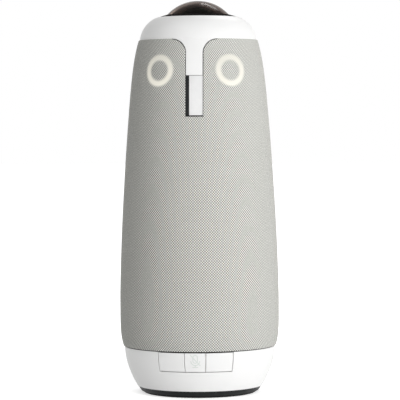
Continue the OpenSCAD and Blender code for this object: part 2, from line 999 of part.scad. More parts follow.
module speaker_housing_lid() {
    color("darkslategray")
        difference() {
            translate([0, 0, tub_top_z])
                linear_extrude(lid_t)
                    tub_section(0);
            at_tub_corners()
                cylinder_between(tub_bore_d / 2, tub_top_z - overrun, lid_z + overrun);
        }
}

module lid_screws() {
    color("silver")
        at_tub_corners() {
            cylinder_between(lid_head_d / 2, lid_z, lid_z + lid_head_t);
            cylinder_between(screw_d / 2, lid_z + lid_t - lid_screw_l, lid_z + lid_head_t / 2);
        }
}

module speaker_basket(deg) {
    out_r = speaker_d / 2;
    neck_r = out_r - basket_rim;
    foot_r_in = neck_r * basket_foot_share;
    bore_r = neck_r * basket_bore_share;
    seat_r = neck_r - basket_wall / 2;
    cone_seat_z = basket_flange_t - cone_seat_t;
    color("gray")
        radial(deg, speaker_z, flat_r)
            difference() {
                rotate_extrude()
                    polygon([
                        [out_r, basket_flange_t],
                        [seat_r, basket_flange_t],
                        [seat_r, cone_seat_z],
                        [seat_r - cone_seat_w, cone_seat_z],
                        [foot_r_in - basket_wall, basket_wall - basket_depth],
                        [bore_r, basket_wall - basket_depth],
                        [bore_r, -basket_depth],
                        [foot_r_in, -basket_depth],
                        [neck_r, 0],
                        [out_r, 0]
                    ]);
                at_speaker_screws()
                    translate([0, 0, -overrun])
                        cylinder(
                            d = speaker_screw_d + 2 * speaker_screw_gap,
                            h = basket_flange_t + 2 * overrun
                        );
            }
}

module speaker_basket_front() speaker_basket(speaker_places[0]);
module speaker_basket_right() speaker_basket(speaker_places[1]);
module speaker_basket_left() speaker_basket(speaker_places[2]);

// Height of a shallow arch of unit height, along its unit width
function arch(s) = 1 - pow(1 - 2 * s, 2);

// Paper cone with its rubber surround and dust cap, as one thin shell
module speaker_cone(deg) {
    edge_r = speaker_d / 2 - basket_rim - basket_wall / 2 - cone_gap;
    seat = basket_flange_t - cone_seat_t;
    face_z = seat + cone_t;
    roll_c = edge_r - cone_seat_w - roll_half_w;
    face_pts = concat(
        [[edge_r, face_z]],
        [for (s = steps(roll_rings)) [roll_c + roll_half_w * (1 - 2 * s), face_z + roll_rise * arch(s)]],
        [for (s = steps(dust_rings)) [dust_r * (1 - s), face_z - cone_depth + dust_rise * arch(s / 2)]]
    );
    color("dimgray")
        radial(deg, speaker_z, flat_r)
            rotate_extrude()
                polygon(concat(
                    face_pts,
                    [for (p = reversed(face_pts)) [p[0], p[1] - cone_t]]
                ));
}

module speaker_cone_front() speaker_cone(speaker_places[0]);
module speaker_cone_right() speaker_cone(speaker_places[1]);
module speaker_cone_left() speaker_cone(speaker_places[2]);

module speaker_magnet(deg) {
    color("slategray")
        radial(deg, speaker_z, flat_r - basket_depth - magnet_t)
            difference() {
                cylinder(d = magnet_d, h = magnet_t);
                translate([0, 0, -overrun])
                    cylinder(d = magnet_vent_d, h = magnet_t + 2 * overrun);
            }
}

module speaker_magnet_front() speaker_magnet(speaker_places[0]);
module speaker_magnet_right() speaker_magnet(speaker_places[1]);
module speaker_magnet_left() speaker_magnet(speaker_places[2]);

module speaker_screws() {
    color("silver")
        for (deg = speaker_places)
            radial(deg, speaker_z, flat_r + basket_flange_t)
                at_speaker_screws() {
                    cylinder(d = speaker_screw_head_d, h = speaker_screw_head_t);
                    translate([0, 0, speaker_screw_head_t / 2 - speaker_screw_l])
                        cylinder(d = speaker_screw_d, h = speaker_screw_l);
                }
}

// Main board

module at_standoffs() {
    for (deg = quarter_places)
        rotate([0, 0, deg])
            translate([standoff_r, 0, 0])
                children();
}

module board_standoffs() {
    color("goldenrod")
        at_standoffs()
            translate([0, 0, lid_z])
                cylinder(d = standoff_d, h = standoff_h, $fn = 6);
}

module main_board() {
    color("darkgreen")
        cylinder_between(main_board_d / 2, board_z, board_top_z);
}

module shield_cans() {
    color("silver")
        for (side = [-1, 1])
            translate([0, side * (can_gap + can_d) / 2, 0])
                block(can_w, -can_d / 2, can_d / 2, board_top_z, sink_z);
}

module heat_sink() {
    fin_pitch = (heat_sink_w - fin_t) / (fin_count - 1);
    half_w = heat_sink_w / 2;
    color("silver") {
        block(heat_sink_w, -half_w, half_w, sink_z, sink_z + sink_base_t);
        for (i = [0 : fin_count - 1])
            translate([0, i * fin_pitch - half_w, 0])
                block(heat_sink_w, 0, fin_t, sink_z + sink_base_t / 2, sink_z + heat_sink_h);
    }
}

// Upper frame, lights and microphones

module upper_frame() {
    color("darkslategray")
        difference() {
            union() {
                ring(frame_r, frame_r - frame_wall, lid_z, deck_top_z);
                cylinder_between(frame_r - frame_wall / 2, deck_z, deck_top_z);
                for (side = [-1, 1])
                    radial(side * light_deg, light_z, frame_r - frame_wall / 2)
                        cylinder(d = pad_d, h = light_back_r - frame_r + frame_wall / 2);
            }
            cylinder_between(barrel_d / 2 + lens_step + tail_gap, deck_z - overrun, deck_top_z + overrun);
            for (deg = window_places)
                rotate([0, 0, deg])
                    translate([0, -window_w / 2, window_low_z])
                        cube([body_r, window_w, window_top_z - window_low_z]);
            at_cap_screws()
                cylinder_between(post_bore_d / 2, deck_z - overrun, deck_top_z + overrun);
        }
}

module light_board(side) {
    color("darkgreen")
        radial(side * light_deg, light_z, light_back_r)
            cylinder(d = light_board_d, h = light_board_t);
}

module left_light_board() light_board(-1);
module right_light_board() light_board(1);

// A clear ring whose front follows the shell's outer surface
module light_guide(side) {
    color("ivory")
        intersection() {
            radial(side * light_deg, light_z, light_face_r)
                difference() {
                    cylinder(d = light_d, h = body_r - light_face_r);
                    translate([0, 0, -overrun])
                        cylinder(d = light_bore, h = body_r);
                }
            rotate_extrude()
                polygon(concat(
                    [[0, belly_z]],
                    [for (z = upper_zs) [grille_r(z), z]],
                    [[0, crown_z]]
                ));
        }
}

module left_light_guide() light_guide(-1);
module right_light_guide() light_guide(1);

module at_cap_screws() {
    for (deg = quarter_places)
        rotate([0, 0, deg])
            translate([cap_boss_ring_r, 0, 0])
                children();
}

module mic_board() {
    color("darkgreen")
        difference() {
            ring(
                spigot_r - spigot_t - spigot_gap, barrel_flange_d / 2 + connector_gap,
                deck_top_z, deck_top_z + mic_board_t
            );
            at_cap_screws()
                cylinder_between(
                    cap_boss_d / 2 + cap_boss_gap, deck_top_z - overrun,
                    deck_top_z + mic_board_t + overrun
                );
        }
}

module microphones() {
    mic_r = spigot_r - spigot_t - spigot_gap - mic_inset;
    color("silver")
        for (i = [0 : mic_count - 1])
            rotate([0, 0, 360 * (i + 1 / 2) / mic_count])
                translate([mic_r, -mic_w / 2, deck_top_z + mic_board_t])
                    cube([mic_l, mic_w, mic_t]);
}

// Camera module

module image_sensor_board() {
    color("darkgreen")
        cylinder_between(sensor_board_d / 2, sensor_board_z, tail_z);
}

module image_sensor() {
    color("midnightblue")
        block(sensor_w, -sensor_w / 2, sensor_w / 2, tail_z, tail_z + sensor_t);
}

module lens_barrel() {
    tail_r = barrel_d / 2 + lens_step;
    flange_top = deck_top_z + barrel_flange_t;
    head_z = lens_seat_z - barrel_head_l;
    head_top_z = lens_rim_z;
    head_r = barrel_head_d / 2;
    color("black")
        rotate_extrude()
            polygon([
                [sensor_cavity_d / 2, tail_z],
                [tail_r, tail_z],
                [tail_r, deck_top_z],
                [barrel_flange_d / 2, deck_top_z],
                [barrel_flange_d / 2, flange_top],
                [barrel_d / 2, flange_top],
                [barrel_d / 2, head_z - (head_r - barrel_d / 2)],
                [head_r, head_z],
                [head_r, head_top_z],
                [lens_d / 2 + lens_gap, head_top_z],
                [lens_d / 2 + lens_gap, lens_seat_z],
                [lens_d / 2 - lens_step, lens_seat_z],
                [barrel_bore_d / 2, head_z],
                [barrel_bore_d / 2, barrel_bore_z],
                [sensor_cavity_d / 2, barrel_bore_z]
            ]);
}

module rear_lens_elements() {
    first_z = barrel_bore_z + lens_step;
    color("lightblue")
        for (i = [0 : element_count - 1])
            translate([0, 0, first_z + i * element_pitch])
                cylinder(d = element_d, h = element_t);
}

module fisheye_lens() {
    color("lightblue")
        difference() {
            intersection() {
                translate([0, 0, lens_centre_z])
                    sphere(r = lens_sphere_r);
                cylinder_between(lens_d / 2, lens_seat_z, total_h);
            }
            translate([0, 0, lens_top_z - lens_back_drop - lens_back_r])
                sphere(r = lens_back_r);
        }
}

// A flat cable from the sensor board down to the main board
module camera_flex_cable() {
    color("darkorange")
        translate([-cable_w / 2, 0, 0])
            rotate([90, 0, 90])
                linear_extrude(cable_w)
                    polygon([
                        [cable_start, sensor_board_z],
                        [cable_out + cable_t, sensor_board_z],
                        [cable_out + cable_t, board_top_z],
                        [cable_out - cable_foot, board_top_z],
                        [cable_out - cable_foot, board_top_z + cable_t],
                        [cable_out, board_top_z + cable_t],
                        [cable_out, sensor_board_z - cable_t],
                        [cable_start, sensor_board_z - cable_t]
                    ]);
}

// Shell, fabric and trim

// Upright slots with round ends in front of each speaker
module speaker_slots() {
    for (place = speaker_places, column = [-slot_columns : slot_columns], row = [0 : slot_rows - 1])
        radial(
            place + column * slot_pitch_deg,
            speaker_z + (row - (slot_rows - 1) / 2) * slot_pitch_z,
            tub_r
        )
            linear_extrude(body_r - tub_r)
                upright_slot(slot_w, slot_l);
}

module upright_slot(w, l) {
    square([w, l - w], center = true);
    for (side = [-1, 1])
        translate([0, side * (l - w) / 2])
            circle(d = w);
}

module grille_shell() {
    outer = fabric_t + skin_gap;
    color("dimgray")
        difference() {
            sleeve_wall(outer, outer + grille_wall);
            front_cut()
                spine_outline(spine_gap, crown_z + overrun);
            intersection() {
                sleeve_wall(0, outer + pocket_depth);
                front_cut()
                    pocket_outline(fabric_gap);
            }
            for (side = [-1, 1])
                radial(side * light_deg, light_z, light_face_r)
                    cylinder(d = light_d + 2 * light_fit_gap, h = body_r);
            speaker_slots();
        }
}

module fabric_sleeve() {
    color("lightgray")
        difference() {
            sleeve_wall(0, fabric_t, hem_z + hem_gap);
            front_cut() {
                spine_outline(fabric_gap, crown_z + overrun);
                pocket_outline(fabric_gap);
            }
        }
}

// A plain plate in the pocket under the spine
module front_trim_plate() {
    back = fabric_t + skin_gap + pocket_depth;
    right_x = spine_w / 2 + fabric_gap - plate_gap;
    color("gainsboro")
        intersection() {
            sleeve_wall(back - trim_t, back);
            front_cut()
                translate([right_x - plate_w, pocket_z + pocket_foot_gap - fabric_gap])
                    square([plate_w, pocket_l - pocket_foot_gap + fabric_gap - plate_gap]);
        }
}

// Cap and spine are one moulding
module top_cap() {
    low_zs = [for (z = sleeve_zs) if (z > pocket_z) z];
    color("white")
        difference() {
            union() {
                difference() {
                    rotate_extrude()
                        polygon(concat(
                            [for (z = low_zs) [sleeve_r(z) - cap_sink, z]],
                            [for (a = cap_degs) if (a > 0) cap_point(a, 0)],
                            [
                                [cap_end_r, seat_z],
                                [cap_end_r - seat_w, seat_z],
                                [cap_end_r - seat_w, seat_z - seat_t]
                            ],
                            [for (a = reversed(cap_degs)) if (a > 0) cap_point(a, cap_wall)],
                            [for (z = reversed(low_zs)) [sleeve_r(z) - cap_sink - spine_t, z]]
                        ));
                    difference() {
                        cylinder_between(body_r, 0, crown_z);
                        front_cut()
                            spine_outline(0, crown_z + overrun);
                    }
                }
                cap_spigot();
                cap_bosses();
            }
            at_cap_screws()
                cylinder_between(post_bore_d / 2, deck_top_z - overrun, deck_top_z + cap_screw_l);
        }
}

module cap_spigot() {
    web_r = cap_r - cap_wall / 2;
    rotate_extrude()
        polygon([
            [spigot_r, crown_z - spigot_l],
            [spigot_r, crown_z],
            [web_r, crown_z],
            [web_r - spigot_web * cap_draft_share, crown_z + spigot_web],
            [spigot_r - spigot_t, crown_z + spigot_web],
            [spigot_r - spigot_t, crown_z - spigot_l]
        ]);
}

// Screw bosses that end inside the cap's wall
module cap_bosses() {
    skin = cap_wall / 2;
    boss_top_z = seat_z - seat_t / 2;
    intersection() {
        at_cap_screws()
            cylinder_between(cap_boss_d / 2, deck_top_z, total_h);
        rotate_extrude()
            polygon(concat(
                [[0, deck_top_z], [cap_r - cap_wall, deck_top_z]],
                [for (a = cap_degs) if (cap_point(a, skin)[1] < boss_top_z) cap_point(a, skin)],
                [[0, boss_top_z]]
            ));
    }
}

module cap_screws() {
    color("silver")
        at_cap_screws() {
            cylinder_between(cap_screw_head_d / 2, deck_z - cap_screw_head_t, deck_z);
            cylinder_between(
                screw_d / 2, deck_z - cap_screw_head_t / 2, deck_z - cap_screw_head_t / 2 + cap_screw_l
            );
        }
}

module lens_bezel() {
    bezel_r = bezel_d / 2;
    rim_r = dome_d / 2 + dome_gap;
    seal_z = dome_rim_z - seal_t;
    color("black")
        rotate_extrude()
            polygon([
                [bezel_bore_r, seat_z],
                [bezel_r, seat_z],
                [bezel_r, cap_end_z],
                [rim_r, dome_base_z],
                [rim_r, seal_z],
                [bezel_bore_r, seal_z]
            ]);
}

module dome_seal() {
    color("dimgray")
        ring(dome_d / 2, dome_d / 2 - seal_w, dome_rim_z - seal_t, dome_rim_z);
}

module lens_dome() {
    centre_z = total_h - dome_sphere_r;
    color("darkslateblue")
        intersection() {
            translate([0, 0, centre_z])
                difference() {
                    sphere(r = dome_sphere_r);
                    sphere(r = dome_sphere_r - dome_t);
                }
            cylinder_between(dome_d / 2, dome_rim_z, total_h + overrun);
        }
}

foot_ring();
base_plate();
tripod_insert();
base_screws();
base_shell();
volume_down_key();
mute_key();
volume_up_key();
volume_down_stem();
mute_stem();
volume_up_stem();
key_switches();
key_flex_board();
key_bracket();
port_board();
power_jack();
usb_port();
lock_slot_insert();
speaker_housing();
speaker_housing_lid();
lid_screws();
speaker_basket_front();
speaker_basket_right();
speaker_basket_left();
speaker_cone_front();
speaker_cone_right();
speaker_cone_left();
speaker_magnet_front();
speaker_magnet_right();
speaker_magnet_left();
speaker_screws();
board_standoffs();
main_board();
shield_cans();
heat_sink();
upper_frame();
left_light_board();
right_light_board();
left_light_guide();
right_light_guide();
mic_board();
microphones();
image_sensor_board();
image_sensor();
lens_barrel();
rear_lens_elements();
fisheye_lens();
camera_flex_cable();
grille_shell();
fabric_sleeve();
front_trim_plate();
top_cap();
cap_screws();
lens_bezel();
dome_seal();
lens_dome();
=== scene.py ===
"""Conference camera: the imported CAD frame, dressed and lit as in the photograph.

Lengths in CAD constants are in mm and are turned into metres with MM.
"""
import json
import math

import bmesh
import bpy
from mathutils import Matrix, Vector


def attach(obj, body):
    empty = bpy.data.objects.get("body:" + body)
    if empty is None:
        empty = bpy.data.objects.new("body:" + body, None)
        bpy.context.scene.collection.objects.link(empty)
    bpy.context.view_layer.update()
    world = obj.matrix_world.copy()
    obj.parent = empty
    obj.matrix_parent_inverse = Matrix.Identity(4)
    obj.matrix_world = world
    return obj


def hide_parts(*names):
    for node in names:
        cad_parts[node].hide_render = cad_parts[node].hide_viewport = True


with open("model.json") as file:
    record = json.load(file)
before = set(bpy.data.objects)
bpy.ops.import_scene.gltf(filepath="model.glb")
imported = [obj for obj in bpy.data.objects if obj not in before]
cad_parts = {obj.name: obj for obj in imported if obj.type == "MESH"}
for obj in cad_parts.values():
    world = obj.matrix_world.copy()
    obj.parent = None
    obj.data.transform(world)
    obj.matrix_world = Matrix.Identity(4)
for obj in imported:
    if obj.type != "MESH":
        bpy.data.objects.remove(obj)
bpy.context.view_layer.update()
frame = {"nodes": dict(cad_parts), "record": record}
MM = 0.001


def add_object(name, data):
    piece = bpy.data.objects.new(name, data)
    bpy.context.scene.collection.objects.link(piece)
    return piece


def add_mesh_object(name, mesh):
    """An object made from a bmesh, which is freed."""
    data = bpy.data.meshes.new(name)
    mesh.to_mesh(data)
    mesh.free()
    return add_object(name, data)


# Camera: the whole object, from a little above its middle and a few degrees towards +X

VIEW_DEG = 3.5
VIEW_DISTANCE = 1.55
VIEW_HEIGHT = 0.19
AIM_HEIGHT = 0.1342
AIM_RIGHT = 0.0007
ROLL_DEG = -0.32
LENS = 199.7
CLIP = (0.05, 30)


def make_camera():
    turn = math.radians(VIEW_DEG)
    right = Vector((math.cos(turn), math.sin(turn), 0))
    aim = right * AIM_RIGHT + Vector((0, 0, AIM_HEIGHT))
    place = Vector((math.sin(turn), -math.cos(turn), 0)) * VIEW_DISTANCE
    place.z = VIEW_HEIGHT
    data = bpy.data.cameras.new("camera")
    data.lens = LENS
    data.clip_start, data.clip_end = CLIP
    camera = add_object("camera", data)
    look = (aim - place).to_track_quat("-Z", "Y").to_matrix().to_4x4()
    roll = Matrix.Rotation(math.radians(ROLL_DEG), 4, "Z")
    camera.matrix_world = Matrix.Translation(place) @ look @ roll
    bpy.context.scene.camera = camera


make_camera()


# Node helpers

NOISE_RANGE = (0.3, 0.7)  # where noise mostly lies


class Nodes:
    """A material's node tree, with short calls for the nodes used here."""

    def __init__(self, name):
        self.material = bpy.data.materials.new(name)
        self.material.use_nodes = True
        self.tree = self.material.node_tree
        self.shader = self.tree.nodes["Principled BSDF"]
        self.place = self.add("ShaderNodeTexCoord").outputs["Object"]

    def add(self, kind, **values):
        node = self.tree.nodes.new(kind)
        for key, value in values.items():
            setattr(node, key, value)
        return node

    def link(self, source, target):
        """Joins a socket to another one, or sets a plain value on it."""
        if isinstance(source, bpy.types.NodeSocket):
            self.tree.links.new(source, target)
        else:
            target.default_value = source

    def math(self, operation, *terms):
        node = self.add("ShaderNodeMath", operation=operation)
        for term, socket in zip(terms, node.inputs):
            self.link(term, socket)
        return node.outputs[0]

    def times(self, one, other):
        return self.math("MULTIPLY", one, other)

    def plus(self, one, other):
        return self.math("ADD", one, other)

    def less(self, one, other):
        return self.math("SUBTRACT", one, other)

    def smooth(self, value, low, high, to_low=0.0, to_high=1.0):
        """value from low to high, eased and mapped to another range."""
        node = self.add("ShaderNodeMapRange", interpolation_type="SMOOTHSTEP")
        for term, socket in zip((value, low, high, to_low, to_high), node.inputs):
            self.link(term, socket)
        return node.outputs[0]

    def spread(self, noise, low, high):
        """A noise's usual range, mapped to low and high."""
        node = self.add("ShaderNodeMapRange")
        for term, socket in zip((noise, *NOISE_RANGE, low, high), node.inputs):
            self.link(term, socket)
        return node.outputs[0]

    def mix(self, share, low, high):
        """From colour low to colour high by share; either can be a socket."""
        node = self.add("ShaderNodeMix", data_type="RGBA")
        self.link(share, node.inputs["Factor"])
        colour_inputs = node.inputs[6:8]
        for value, socket in zip((low, high), colour_inputs):
            plain = not isinstance(value, bpy.types.NodeSocket)
            self.link((*value, 1) if plain else value, socket)
        return node.outputs[2]

    def noise(self, scale, detail=3.0, roughness=0.55, stretch=(1, 1, 1)):
        mapping = self.add("ShaderNodeMapping")
        mapping.inputs["Scale"].default_value = stretch
        self.link(self.place, mapping.inputs["Vector"])
        node = self.add("ShaderNodeTexNoise")
        node.inputs["Scale"].default_value = scale
        node.inputs["Detail"].default_value = detail
        node.inputs["Roughness"].default_value = roughness
        self.link(mapping.outputs[0], node.inputs["Vector"])
        return node.outputs[0]

    def bump(self, height, depth_mm):
        node = self.add("ShaderNodeBump")
        node.inputs["Strength"].default_value = 1.0
        node.inputs["Distance"].default_value = depth_mm * MM
        self.link(height, node.inputs["Height"])
        return node.outputs[0]

    def set(self, **values):
        """Values of the shader's own sockets, by name with _ for a space."""
        for key, value in values.items():
            socket = self.shader.inputs[key.replace("_", " ")]
            if isinstance(value, tuple) and len(value) == 3:
                value = (*value, 1)
            self.link(value, socket)
        return self


# Materials

SLOW_SHARE = 0.6
GLOSS_PER_BLOTCH = 2.3
BLOTCH = 60.0


def surface(name, dark, light, rough, grain=900, depth=0.02, stretch=(1, 1, 1), **values):
    """A moulded, cast, drawn or printed surface.

    Its tone changes slowly and by a fine grain of depth mm, and its gloss is uneven.
    """
    n = Nodes(name)
    slow = n.noise(BLOTCH, 3.0)
    fine = n.noise(grain, 2.0, 0.6, stretch)
    tone = n.plus(n.times(slow, SLOW_SHARE), n.times(fine, 1 - SLOW_SHARE))
    return n.set(
        Base_Color=n.mix(n.spread(tone, 0.0, 1.0), dark, light),
        Roughness=n.spread(n.noise(BLOTCH * GLOSS_PER_BLOTCH, 4.0), *rough),
        Normal=n.bump(fine, depth),
        **values,
    )


WHITE_DARK = (0.772, 0.772, 0.769)
WHITE_LIGHT = (0.792, 0.792, 0.789)
WHITE_ROUGH = (0.44, 0.54)


def white_plastic(name):
    """Satin white moulding with a fine spark-eroded texture."""
    n = Nodes(name)
    slow = n.noise(35.0, 2.0)
    grain = n.noise(2600.0, 2.0, 0.7)
    return n.set(
        Base_Color=n.mix(n.spread(slow, 0.0, 1.0), WHITE_DARK, WHITE_LIGHT),
        Roughness=n.spread(n.noise(140.0, 3.0), *WHITE_ROUGH),
        Metallic=0.2,
        Normal=n.bump(grain, 0.012),
        Specular_IOR_Level=0.4,
    )


# The cloth: a plain weave of two yarns, and the ring lights seen through it

YARNS = 380  # round the body
COURSE = 0.93 * MM
SWAY = 1.1  # how far a yarn wanders, in radians of the weave's wave
OVER = 0.35  # half the width of a crossing's edge
CROWN_POWER = 0.6
# Painted shade darkens the colour in the gaps between yarn crossings; the next two values set
# its edge and share.
PAINTED_SHADE_EDGE = (0.55, 0.05)
PAINTED_SHADE_SHARE = 0.4
WORN_SHARE = 0.34
FLUFF_SHARE = 0.16
YARN_DARK = (0.11, 0.11, 0.105)
YARN_LIGHT = (0.807, 0.807, 0.762)
WORN = (0.456, 0.456, 0.429)
# The colour of the painted shade between the yarn crossings.
PAINTED_CREVICE_SHADE = (0.17, 0.17, 0.161)
FLUFF = (0.76, 0.76, 0.722)
FIBRE_HEIGHT = 0.35
WEAVE_DEPTH = 0.08

RING_DEG = 32.4  # each side of the front
RING_Z = 0.2239
RING_OUT = 10.8 * MM
RING_IN = 6.9 * MM
RING_WIDE = 1.02
RING_BLUR = 1.2 * MM
LIT_SIDE_LEAN = 4.0  # per metre: the glow is brighter towards +X, painted light on the side the key lamp lights, and brighter downwards
LEAN_UP = 18.0
RING_CLOTH = (0.35, 0.35, 0.335)
RING_COVER = 0.94
RING_COLOUR = (1.0, 0.95, 0.81)
RING_POWER = 0.44
RING_ON_YARN = 0.04


def weave(n, x, y, z):
    """The cloth's colour with painted shade between the crossings, the height of its crossings
    and its fibres.
    """
    turn = n.math("ARCTAN2", x, n.times(y, -1.0))
    wander = n.noise(55.0, 2.0)
    across = n.times(turn, YARNS / 2)
    along = n.times(z, math.pi / COURSE)
    sway = n.times(n.less(wander, 0.5), SWAY)
    warp = n.math("COSINE", n.plus(across, sway))
    weft = n.math("COSINE", n.plus(along, sway))
    cell = n.times(warp, weft)
    over = n.smooth(cell, -OVER, OVER)
    crown = n.math("POWER", n.math("ABSOLUTE", cell), CROWN_POWER)
    fibre = n.noise(1500.0, 4.0, 0.7, (1, 1, 0.35))
    slub = n.noise(230.0, 3.0, 0.65, (1, 1, 0.2))
    yarn = n.mix(over, YARN_DARK, YARN_LIGHT)
    worn = n.mix(n.spread(slub, 0.0, WORN_SHARE), yarn, WORN)
    # Painted shade: the colour turns darker where no yarn crossing stands high.
    crevice_shade = n.smooth(crown, *PAINTED_SHADE_EDGE, 0.0, PAINTED_SHADE_SHARE)
    cloth = n.mix(crevice_shade, worn, PAINTED_CREVICE_SHADE)
    cloth = n.mix(n.spread(fibre, 0.0, FLUFF_SHARE), cloth, FLUFF)
    return cloth, crown, fibre


def ring(n, x, y, z, side):
    """How much one ring light shows, from 0 to about 1; side is -1 or 1."""
    angle = math.radians(RING_DEG)
    sideways = n.plus(n.times(x, math.cos(angle)), n.times(y, side * math.sin(angle)))
    outward = n.plus(n.times(x, side * math.sin(angle)), n.times(y, -math.cos(angle)))
    up = n.less(z, RING_Z)
    flat = n.math("POWER", n.math("DIVIDE", sideways, RING_WIDE), 2.0)
    reach = n.math("SQRT", n.plus(flat, n.math("POWER", up, 2.0)))
    outer = n.smooth(reach, RING_OUT + RING_BLUR, RING_OUT - RING_BLUR)
    inner = n.smooth(reach, RING_IN - RING_BLUR, RING_IN + RING_BLUR)
    front = n.math("GREATER_THAN", outward, 0.0)
    shape = n.times(n.times(outer, inner), front)
    # Painted light: the glow is brighter towards +X, the side the key lamp lights; it is also
    # brighter downwards.
    lit_side_and_low_lean = n.less(n.times(sideways, LIT_SIDE_LEAN), n.times(up, LEAN_UP))
    return n.times(shape, n.plus(lit_side_and_low_lean, 1.0))


def knit(name):
    """Acoustic cloth of two grey yarns, with the two ring lights shining through."""
    n = Nodes(name)
    split = n.add("ShaderNodeSeparateXYZ")
    n.link(n.place, split.inputs[0])
    x, y, z = split.outputs
    cloth, crown, fibre = weave(n, x, y, z)
    glow = n.plus(ring(n, x, y, z, -1), ring(n, x, y, z, 1))
    level = n.plus(n.times(crown, RING_ON_YARN), RING_POWER)
    height = n.plus(crown, n.times(fibre, FIBRE_HEIGHT))
    return n.set(
        Base_Color=n.mix(n.math("MINIMUM", glow, RING_COVER), cloth, RING_CLOTH),
        Roughness=n.spread(fibre, 0.8, 0.96),
        Normal=n.bump(height, WEAVE_DEPTH),
        Emission_Color=RING_COLOUR,
        Emission_Strength=n.times(glow, level),
        Specular_IOR_Level=0.2,
        Sheen_Weight=0.1,
        Sheen_Roughness=0.4,
        Sheen_Tint=(0.95, 0.95, 0.93),
    )


TINT_DARK = 0.94
WIPED = 0.03


def glass(name, tint, through, gloss=0.03, **values):
    """Clear or smoked moulding, faintly wiped and dusty."""
    n = Nodes(name)
    wiped = n.noise(90.0, 4.0, 0.6, (1, 1, 3))
    dust = n.noise(1400.0, 2.0)
    dark = tuple(c * TINT_DARK for c in tint)
    return n.set(
        Base_Color=n.mix(n.spread(n.noise(40.0), 0.0, 1.0), dark, tint),
        Roughness=n.spread(wiped, gloss, gloss + WIPED),
        Normal=n.bump(dust, 0.0008),
        Transmission_Weight=through,
        **values,
    )


BOARD_DARK = (0.012, 0.075, 0.035)
BOARD_LIGHT = (0.03, 0.15, 0.07)


def circuit_board(name):
    """Solder mask over copper tracks."""
    n = Nodes(name)
    tracks = n.add("ShaderNodeTexBrick")
    tracks.offset = 0.37
    tracks.inputs["Scale"].default_value = 260.0
    tracks.inputs["Mortar Size"].default_value = 0.06
    n.link(n.place, tracks.inputs["Vector"])
    share = n.spread(tracks.outputs["Fac"], 0.0, 1.0)
    return n.set(
        Base_Color=n.mix(share, BOARD_DARK, BOARD_LIGHT),
        Roughness=n.spread(n.noise(300.0), 0.3, 0.5),
        Normal=n.bump(share, 0.03),
    )


# The record's slots. Dark plastics reflect little, because the surroundings are white all round.

